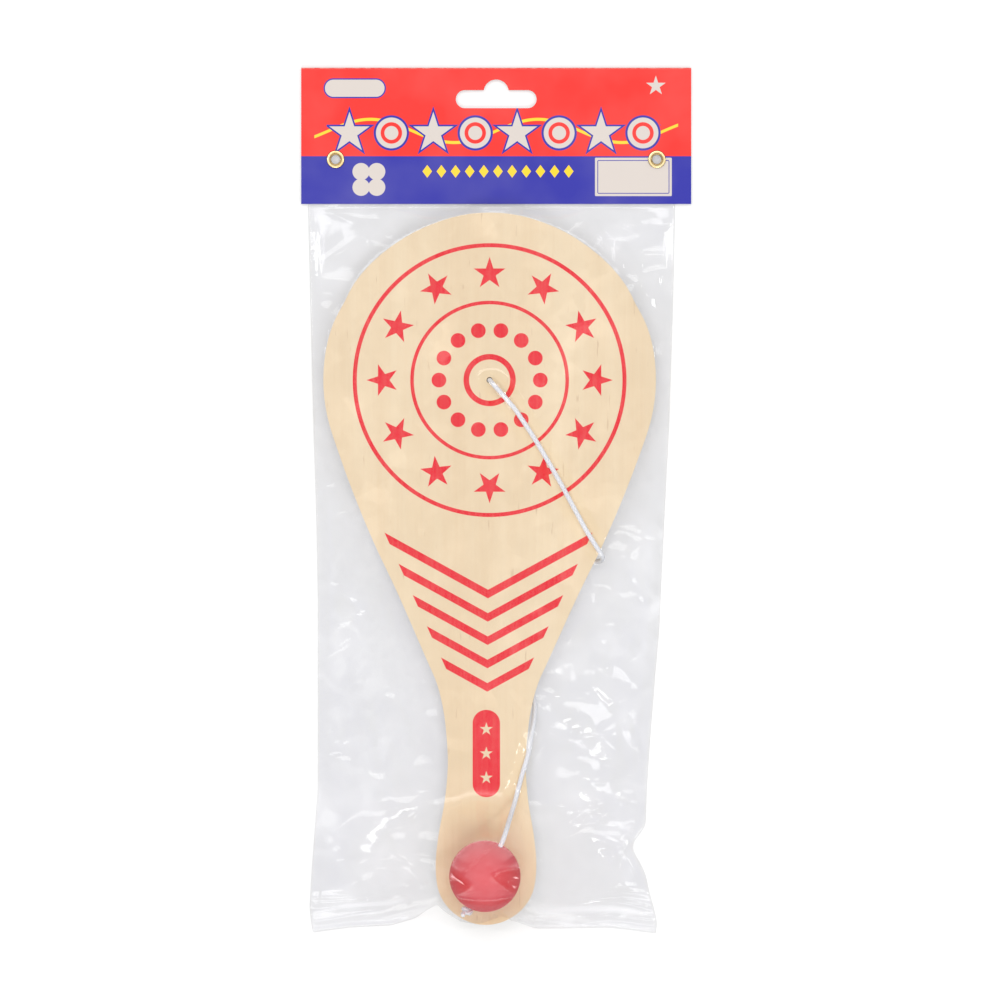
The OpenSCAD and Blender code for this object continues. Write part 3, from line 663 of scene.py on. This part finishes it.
# What is in the bag holds the film off the table, and a little way round each piece
tops = [heights(piece, True, -1) for piece in (front_ply, elastic, ball, ball_knot)]
carried = np.max(tops, 0)
paddle_grown, grown = [np.maximum(spread_out(top), soften(spread_out(spread_out(top)), 5))
    for top in (tops[0], carried)]
drawn = heights(nodes["bag_front"], True, EDGE_Z + SHEET_T)
weld_z = np.where(to_bottom < 12, heights(nodes["bag_back"], True, EDGE_Z), EDGE_Z)
weld_z = soften(weld_z, 6)

# The film hugs the paddle as a skin, and near the ball it is drawn up into a tent
skin = np.maximum(weld_z + 0.2, paddle_grown + FILM_GAP)
for _ in range(STRETCH_PASSES):
    skin[1:-1, 1:-1] = (skin[:-2, 1:-1] + skin[2:, 1:-1] + skin[1:-1, :-2] + skin[1:-1, 2:]) / 4
    skin = np.maximum(skin, paddle_grown + FILM_GAP)
away = eased(rise(np.hypot(off_x, off_y * 1.9), 14, 46))
front = soften(skin * away + drawn * (1 - away), 14)

# Over the ball the film is a slack panel. It rises a little from the paddle's side to a
# bowed line below the ball's top, where it bends sharply down, and has slopes all round.
peak = (BALL_C.z + BALL_R) * 1000 + 0.7
bend_line = off_y + 9.3 - 0.012 * off_x ** 2
around = off_ball + 4 * cloudy(x, y, 9) * rise(off_y, 15, 20)
panel = np.min([peak + over + slope * run for over, slope, run in (
    (0.2, -0.2, off_y), (2.1, 2.2, bend_line), (-2.6, -2.1, around - 15.5),
    (0.9, -1.9, np.abs(off_x) - 14.5))], 0)
tuck = np.zeros(x.shape)
for from_x, from_y, way, lean, spread in TUCKS:
    into = (off_x - from_x) * way
    inside = spread * into - np.abs(off_y - from_y - lean * into)
    panel -= 0.4 * rise(inside, 0, 0.5) * np.clip(into, 0, 14)
    tuck = np.maximum(tuck, rise(inside, 0, 0.9) * rise(into, 0, 2))
panel -= 0.9 * hump(bend_line, 0, 0.5, 1) * (np.abs(off_x) < 11)
corner = 0.2 + 2.6 * rise(off_y, 16, 8)
front = (front + panel + np.sqrt((front - panel) ** 2 + corner ** 2)) / 2

# Crumples all over, less on the paddle, up by the card and close to the ball
free = rise(to_side, 0.5, 6) * rise(to_bottom, 3, 7) * rise(to_top, 1.5, 5)
loose = soften(1 - 0.75 * (grown > 0) * rise(off_ball, 17, 6), 5)
loose *= (0.55 + 0.45 * fall(y, 20, 120)) * np.maximum(rise(off_ball, 8, 14), 0.12)
crumpled = np.where(x < 0, 0.4, 0.72)
rumple = free * loose * (1.1 * cloudy(x, y * 0.6, 30)
    + crumpled * (0.55 * folded(x, y * 0.8, 14) + 0.12 * folded(x, y, 6)))
for x0, y0, x1, y1, high, wide in CREASES:
    run = math.hypot(x1 - x0, y1 - y0)
    share = ((x - x0) * (x1 - x0) + (y - y0) * (y1 - y0)) / run / run
    beside = ((x - x0) * (y1 - y0) - (y - y0) * (x1 - x0)) / run + 0.8 * cloudy(x, y, 9)
    taper = np.clip(1 - (2 * share - 1) ** 2, 0, 1)
    rumple += high * taper * hump(beside, 0, wide, 1.4) * rise(to_side, 0, 3)
for toward, run, high in BALL_FOLDS:
    apart = (heading - toward + 180) % 360 - 180 + 3 * cloudy(x, y, 14)
    reach = rise(off_ball, 9, 9) * fall(off_ball, run, run)
    rumple += 1.6 * high * reach * hump(apart, 0, 7, 1) * free
rumple += 0.8 * rise(to_bottom, 0, 3) * hump(to_bottom, 0, 7, 1) * cloudy(x, y * 0.15, 5)

# Below the ball the film is gathered in streaks. They are whitened, as are the bottom
# weld and the panel's foot on the handle. The film on the ball is whitened as a painted
# reflection, apart from its tucks, its bend and a slanting crease, which stay dark.
tail = rise(-off_y, 10.5, 4) * fall(off_ball, 30, 8)
streaks = cloudy(np.radians(heading) * 18, off_ball * 0.2, 1.7)
rumple += 1.5 * tail * streaks
whitening_and_painted_sheen = tail * np.clip(0.15 + 0.8 * streaks, 0, 1) + 0.3 * hump(to_bottom, 2.5, 2.2, 4)
# Painted reflection on the film over the ball
painted_ball_reflection = fall(off_ball, 14.6, 1.5) * (1 - tuck)
whitening_and_painted_sheen = np.maximum(whitening_and_painted_sheen, painted_ball_reflection * (0.3 + 0.5 * rise(-bend_line, 0.3, 0.6)))
slanting = np.abs((off_x - 1) * 0.69 - (off_y - 11.1) * 0.73) + 9 * (np.abs(off_y - 6.5) > 5)
# The painted reflection is left off along the bend and the slanting crease, so they show dark
gaps_in_painted_reflection = hump(np.minimum(np.abs(bend_line), slanting), 0, 0.7)
whitening_and_painted_sheen *= 1 - gaps_in_painted_reflection * (off_ball < 14)
foot = hump(around, 29.5, 3.5) * rise(off_y, 14, 8) * fall(np.abs(off_x), 24, 5)
whitening_and_painted_sheen = np.maximum(whitening_and_painted_sheen, 0.4 * foot)

# Pleats fan out over the bottom weld, and a low ridge runs down inside each side weld
pleats = fall(to_bottom, 20, 9) * rise(np.abs(off_x), 14.4, 9)
fan = (to_bottom + 1.5) / (1 + 0.009 * np.abs(off_x)) + 1.1 * cloudy(x * 0.35, y, 8)
rumple += 1.15 * pleats * np.sin(fan * math.tau / 3.4) * (0.6 + 0.4 * cloudy(x * 0.3, y, 5))
rumple += 0.35 * hump(to_side, 4.7, 0.6) * rise(to_bottom, 4, 8) * rise(to_top, 3, 6)
front = np.maximum(front + rumple, grown + FILM_GAP)

# The ledges over the bottom weld are flat enough to shine from end to end
for at, half, from_x, to_x in LEDGES:
    row = np.abs(to_bottom - at).argmin(0)
    level = np.convolve(front[row, np.arange(COLUMNS)], np.ones(11) / 11, "same")
    share = hump(to_bottom, at, half, 4) * rise(x, from_x, 5) * fall(x, to_x, 5)
    front += share * (level + 0.18 * (to_bottom - at) - front)
    # Whitening along the ledges is a painted highlight
    whitening_and_painted_sheen = np.maximum(whitening_and_painted_sheen, 0.75 * share)
off_weld = rise(to_bottom, 0, WELD_BAND) ** 0.6 * rise(to_side, 0, SIDE_WELD) ** 0.8
weld_lines = (0.35 * hump(to_bottom, 0.6, 0.4) + 0.28 * hump(to_bottom, 4.4, 0.45)
    + 0.15 * hump(to_side, 0.5, 0.4))
front = weld_z + WELD_STANDS + weld_lines + (front - weld_z) * off_weld
front = np.maximum(front, np.where(carried > 0, carried + FILM_GAP / 2, 0))

# The back sheet lies on the table and lifts to the weld round its edge
under = np.min([heights(piece, False, 60)
    for piece in (back_ply, ball, elastic, anchor_knot, ball_knot)], 0)
under_grown = -spread_out(-under)
back = BACK_SHEET_Z + soften(heights(nodes["bag_back"], False, EDGE_Z - SHEET_T), 4)
back += 0.8 * free * np.clip(0.5 + cloudy(x, y, 24) + 0.5 * folded(x, y, 11), 0, 2.2)
back = np.minimum(back, np.minimum(under_grown - BACK_GAP, front - SHEETS_APART))
back = np.maximum(back, LOWEST_Z)
for rim in (np.s_[-1], np.s_[:, 0], np.s_[:, -1]):
    front[rim] = back[rim] = weld_z[rim]

# The mouth goes on above the grid, and is flat between the card's panels
settled = rise(np.array(MOUTH_YS), 116, 1.5)[:, None]
front_mouth = settled * (EDGE_Z + MOUTH_OPEN) + (1 - settled) * front[0]
back_mouth = settled * (EDGE_Z - MOUTH_OPEN) + (1 - settled) * back[0]
x = np.vstack([np.tile(x[0], (len(MOUTH_YS), 1)), x])
y = np.vstack([np.tile(np.array(MOUTH_YS)[:, None], (1, COLUMNS)), y])
front, back = np.vstack([front_mouth, front]), np.vstack([back_mouth, back])
whitening_and_painted_sheen = np.vstack([np.zeros(front_mouth.shape), np.clip(whitening_and_painted_sheen, 0, 1)])
joined = np.zeros(x.shape, bool)
joined[0], joined[-1], joined[:, 0], joined[:, -1] = True, True, True, True
front[joined] = ((front + back) / 2)[joined]

front_index = np.arange(x.size).reshape(x.shape)
back_index = front_index.copy()
back_index[~joined] = x.size + np.arange((~joined).sum())
film_points = np.vstack([np.stack([x, y, front], -1).reshape(-1, 3),
    np.stack([x, y, back], -1)[~joined]]) / 1000


def squares(index, flip):
    a, b, c, d = index[:-1, :-1], index[1:, :-1], index[1:, 1:], index[:-1, 1:]
    order = (a, d, c, b) if flip else (a, b, c, d)
    return np.stack(order, -1).reshape(-1, 4)


film_mesh = bpy.data.meshes.new("film_bag")
film_mesh.from_pydata(film_points.tolist(), [], np.vstack([squares(front_index, False),
    squares(back_index, True)]).tolist())
film_mesh.shade_smooth()
for name, values in (("tilt", [1 - abs(p.normal.z) for p in film_mesh.vertices]),
        ("whitening_and_painted_sheen", np.concatenate([whitening_and_painted_sheen.ravel(), whitening_and_painted_sheen[~joined]]))):
    film_mesh.attributes.new(name, "FLOAT", "POINT").data.foreach_set("value", values)
film_bag = bpy.data.objects.new("film_bag", film_mesh)
bpy.context.collection.objects.link(film_bag)
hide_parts("bag_mouth", "bag_front", "bag_back")
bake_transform(film_bag)

film = Finish("clear_film", Alpha=0.13, IOR=2.2, Specular_IOR_Level=1.0)
film_haze = film.noise(film.place(), 45, 4)
tilt, whitening_and_sheen_mask = [film.node("Attribute", out=2, settings={"attribute_name": name})
    for name in ("tilt", "whitening_and_painted_sheen")]
# Steep film is painted darker in its base colour: painted shade
painted_slope_shade = film.mix(film.ramp(tilt, 0.002, 0.05), FILM_FLAT, FILM_STEEP_SHADED)
# Soft whitened patches and facets in the base colour are a painted reflection of the lamps
painted_reflection_mottle = film.ramp(film.noise(film.place(), 110, 5, 0.62, 1.2), 0.45, 0.66, 0, 0.4)
facets = [film.ramp(film.node("TexVoronoi", out=1, Vector=film.place(), Scale=scale), 0.42, 0.8,
    0, 0.4) for scale in (95, 170)]
facets = film.times(film.plus(*facets), film.ramp(film_haze, 0.4, 0.62))
# The base colour goes white where the film is crushed, and as painted reflections and highlights
whitening_and_painted_reflection = film.either(whitening_and_sheen_mask, film.either(painted_reflection_mottle, facets))
film.wear(Base_Color=film.mix(whitening_and_painted_reflection, painted_slope_shade, FILM_WHITENING_AND_SHEEN),
    Roughness=film.plus(film.ramp(film_haze, 0.35, 0.7, 0.05, 0.15), film.times(whitening_and_sheen_mask, 0.45)),
    Normal=film.bump(film.noise(film.place(), 520, 3, 0.6), 0.0002, 0.25))
dress(film_bag, film)

# The header card: coated board, printed red over blue, folded along its top over the bag's
# mouth and cut through with the hang slot. Cut edges show the cream board, and the fold
# is rubbed.
CARD_RED = (0.92, 0.022, 0.014, 1)
CARD_BLUE = (0.018, 0.019, 0.36, 1)
CARD_CREAM = (0.7, 0.63, 0.58, 1)
CARD_YELLOW = (1.0, 0.68, 0.025, 1)
BARE_BOARD = (0.8, 0.74, 0.64, 1)
FADED = (1, 0.92, 0.88, 1)
# All of the card's places and sizes are in millimetres
BLUE_TOP_Y = 136.4
CUT_EDGE_TOP_Y, RUBBED_FROM_Y, RUBBED_TO_Y = 170.3, 170.9, 171.6
# A yellow wave, with stars and discs by turns along it
WAVE_Y, WAVE_HIGH, WAVE_HALF, WAVE_HALF_W = 146.4, 4.6, 0.6, 72
ROW_X, ROW_Y, ROW_HALF_W, ROW_SPACING = -1, 145.6, 66.15, 16.6
ROW_STAR_R, ROW_STAR_RIM = 8.4, 2.2
DISC_R, DISC_RIM, DISC_RING_R, DISC_RING_HALF = 6.1, 0.9, 3.5, 0.75
# A row of small diamonds: its middle and half width, their pitch, half width and shape
DIAMONDS_X, DIAMONDS_Y, DIAMONDS_HALF_W = 0.7, 130.4, 30.8
DIAMOND_PITCH, DIAMOND_HALF_W, DIAMOND_SHAPE = 5.6, 1.9, 0.75
# A plate with a fine line round it, a pill, a star in the corner and a clover
PLATE_AT, PLATE_HALF, PLATE_CORNER = (54.3, 128.2), (15.2, 7.6), 0.4
PLATE_LINE_IN, PLATE_LINE_HALF = 1.1, 0.16
PILL_AT, PILL_HALF, PILL_CORNER, PILL_RIM = (-56, 163.3), (11.8, 3.4), 3.39, 0.54
CORNER_STAR_AT, CORNER_STAR_R = (63.2, 164.2), 4.1
CLOVER_AT, LEAF_OUT, LEAF_R = (-50.4, 127.2), 3.1, 3.4

board = Print("printed_card", Specular_IOR_Level=0.32, Coat_Weight=0.06, Coat_Roughness=0.3)
colour = board.mix(board.within(board.y, BLUE_TOP_Y), CARD_RED, CARD_BLUE)
wave = board.times(board.math("SINE", board.times(board.x, math.pi / 2 / ROW_SPACING)), WAVE_HIGH)
wave = board.both(board.band(board.minus(board.y, wave), WAVE_Y, WAVE_HALF),
    board.band(board.x, 0, WAVE_HALF_W))
colour = board.mix(wave, colour, CARD_YELLOW)


def outlined(distance, size, rim, over):
    """A cream shape with a blue rim, over a colour."""
    with_rim = board.mix(board.within(distance, size + rim), over, CARD_BLUE)
    return board.mix(board.within(distance, size), with_rim, CARD_CREAM)


star_x, disc_x = [board.repeat(board.minus(board.x, first), 2 * ROW_SPACING)
    for first in (ROW_SPACING / 2, -ROW_SPACING / 2)]
row_y = board.minus(board.y, ROW_Y)
row = outlined(board.star(row_y, star_x), ROW_STAR_R, ROW_STAR_RIM, colour)
from_disc = board.length(disc_x, row_y)
row = outlined(from_disc, DISC_R, DISC_RIM, row)
row = board.mix(board.band(from_disc, DISC_RING_R, DISC_RING_HALF), row, CARD_RED)
colour = board.mix(board.band(board.x, ROW_X, ROW_HALF_W), colour, row)

diamond_x = board.repeat(board.minus(board.x, DIAMONDS_X), DIAMOND_PITCH)
diamond_y = board.minus(board.y, DIAMONDS_Y)
from_diamond = board.plus(board.math("ABSOLUTE", diamond_x),
    board.times(board.math("ABSOLUTE", diamond_y), DIAMOND_SHAPE))
diamonds = board.both(board.within(from_diamond, DIAMOND_HALF_W),
    board.band(board.x, DIAMONDS_X, DIAMONDS_HALF_W))
colour = board.mix(diamonds, colour, CARD_YELLOW)

plate_place = board.from_point(*PLATE_AT)
plate = board.box(*plate_place, *PLATE_HALF, PLATE_CORNER)
colour = board.mix(board.within(plate, 0), colour, CARD_CREAM)
plate_line = board.box(*plate_place, *[half - PLATE_LINE_IN for half in PLATE_HALF], PLATE_CORNER)
colour = board.mix(board.band(plate_line, 0, PLATE_LINE_HALF), colour, CARD_BLUE)
pill = board.box(*board.from_point(*PILL_AT), *PILL_HALF, PILL_CORNER)
colour = outlined(pill, 0, PILL_RIM, colour)
corner_x, corner_y = board.from_point(*CORNER_STAR_AT)
colour = board.mix(board.within(board.star(corner_y, corner_x), CORNER_STAR_R), colour, CARD_CREAM)
leaf = [board.minus(board.math("ABSOLUTE", part), LEAF_OUT)
    for part in board.from_point(*CLOVER_AT)]
colour = board.mix(board.within(board.length(*leaf), LEAF_R), colour, CARD_CREAM)

flat = board.math("ABSOLUTE", board.node("SeparateXYZ", out=2, Vector=board.place("Normal")))
cut_edge = board.both(board.within(flat, 0.5, 0.1), board.within(board.y, CUT_EDGE_TOP_Y, 0.2))
paper = board.noise(board.place(), 2600, 3, 0.6)
rubbed = board.both(board.ramp(board.y, RUBBED_FROM_Y, RUBBED_TO_Y),
    board.ramp(board.noise(board.stretched(500, 900, 900), 1, 4, 0.7), 0.4, 0.7, 0.05, 0.5))
fade = board.ramp(board.noise(board.place(), 30, 3), 0.4, 0.8, 0, 0.06)
colour = board.mix(fade, colour, FADED)
colour = board.mix(board.either(cut_edge, rubbed), colour, BARE_BOARD)
board.wear(Base_Color=colour, Roughness=board.ramp(paper, 0.3, 0.7, 0.36, 0.46),
    Normal=board.bump(board.plus(paper, board.noise(board.place(), 60, 2)), 0.00004, 0.5))
dress(nodes["header_card"], board)

# The eyelets: pressed brass, one near each lower corner of the card, pushed through card
# and film from the front and rolled over behind. The setting tool leaves fine rings. The
# brass is painted dark where it turns away from the camera, a painted dark reflection, and
# in the groove round the rolled lip, as painted shade.
BRASS_BRIGHT, BRASS_TARNISHED = (0.9, 0.74, 0.42, 1), (0.76, 0.56, 0.26, 1)
BRASS_SHADED = (0.16, 0.09, 0.025, 1)
# The groove in millimetres: its radius, half width and soft edge
GROOVE_R, GROOVE_HALF, GROOVE_SOFT = 2.25, 0.32, 0.14

brass = Print("brass", Metallic=1.0, Specular_IOR_Level=0.5)
tarnish = brass.noise(brass.place(), 380, 3, 0.5)
scuffs = brass.noise(brass.stretched(4000, 900, 2000), 1, 3, 0.6)
brass_colour = brass.mix(brass.ramp(tarnish, 0.35, 0.7), BRASS_BRIGHT, BRASS_TARNISHED)
# Brass painted dark where it turns away from the camera: a painted dark reflection
turned = brass.ramp(brass.node("LayerWeight", out=1, Blend=0.5), 0.03, 0.3)
rivet_at = sum((Vector(corner) for corner in nodes["eyelet_right"].bound_box), Vector()) / 8
from_axis = brass.length(brass.minus(brass.math("ABSOLUTE", brass.x), rivet_at.x * 1000),
    brass.minus(brass.y, rivet_at.y * 1000))
# Painted shade in the groove round the rolled lip
groove = brass.times(brass.band(from_axis, GROOVE_R, GROOVE_HALF, GROOVE_SOFT), 0.8)
brass.wear(Base_Color=brass.mix(brass.either(turned, groove), brass_colour, BRASS_SHADED),
    Roughness=brass.ramp(scuffs, 0.3, 0.75, 0.14, 0.28), Normal=brass.bump(scuffs, 0.00001, 0.15))
for eyelet in ("eyelet_left", "eyelet_right"):
    dress(nodes[eyelet], brass)

# The studio: a pale table under two wide soft lamps, one towards the head and one towards
# the foot, with a narrow lamp at each side and the room's light round them. The table and
# the room look white to the camera, in the brass and through the film.
TABLE_GREY, TABLE_GLOW = 0.62, 0.41
ROOM_LIGHT = 0.46
# Name, place, width, depth and power
LAMPS = [("lamp_head", (-0.1, 0.8, 1.8), 1.5, 0.7, 13),
    ("lamp_foot", (0.1, -0.95, 1.7), 1.4, 0.7, 12),
    ("lamp_left", (-1.2, 0.3, 1.3), 0.12, 0.5, 2.5),
    ("lamp_right", (1.2, 0.2, 1.4), 0.12, 0.5, 3)]

bpy.ops.mesh.primitive_plane_add(size=12, location=(0, 0, -0.0001))
table = bpy.context.object
table.name = "table"
tabletop = Finish("pale_table", Base_Color=(TABLE_GREY, TABLE_GREY, TABLE_GREY, 1), Roughness=0.9,
    Specular_IOR_Level=0.0)
table_rays = tabletop.node("LightPath").node.outputs
seen = tabletop.either(table_rays["Is Camera Ray"],
    tabletop.either(table_rays["Is Glossy Ray"], table_rays["Is Transmission Ray"]))
tabletop.wear(Emission_Color=(1, 1, 1, 1), Emission_Strength=tabletop.times(seen, TABLE_GLOW))
dress(table, tabletop)

world = bpy.data.worlds.new("room")
bpy.context.scene.world = world
world.use_nodes = True
room = world.node_tree
room_rays = room.nodes.new("ShaderNodeLightPath").outputs
strength = room_rays["Is Camera Ray"]
for how, ray, value in (("MAXIMUM", "Is Glossy Ray", 0), ("MAXIMUM", "Is Transmission Ray", 0),
        ("MULTIPLY", None, 1 - ROOM_LIGHT), ("ADD", None, ROOM_LIGHT)):
    made = room.nodes.new("ShaderNodeMath")
    made.operation = how
    room.links.new(strength, made.inputs[0])
    made.inputs[1].default_value = value
    if ray:
        room.links.new(room_rays[ray], made.inputs[1])
    strength = made.outputs[0]
room.links.new(strength, room.nodes["Background"].inputs["Strength"])
room.nodes["Background"].inputs["Color"].default_value = (1, 1, 1, 1)

for name, at, wide, deep, power in LAMPS:
    lamp_data = bpy.data.lights.new(name, "AREA")
    lamp_data.shape = "RECTANGLE"
    lamp_data.size, lamp_data.size_y, lamp_data.energy = wide, deep, power
    lamp = bpy.data.objects.new(name, lamp_data)
    lamp.location = at
    lamp.rotation_mode = "QUATERNION"
    lamp.rotation_quaternion = (-Vector(at)).to_track_quat("-Z", "Y")
    bpy.context.collection.objects.link(lamp)
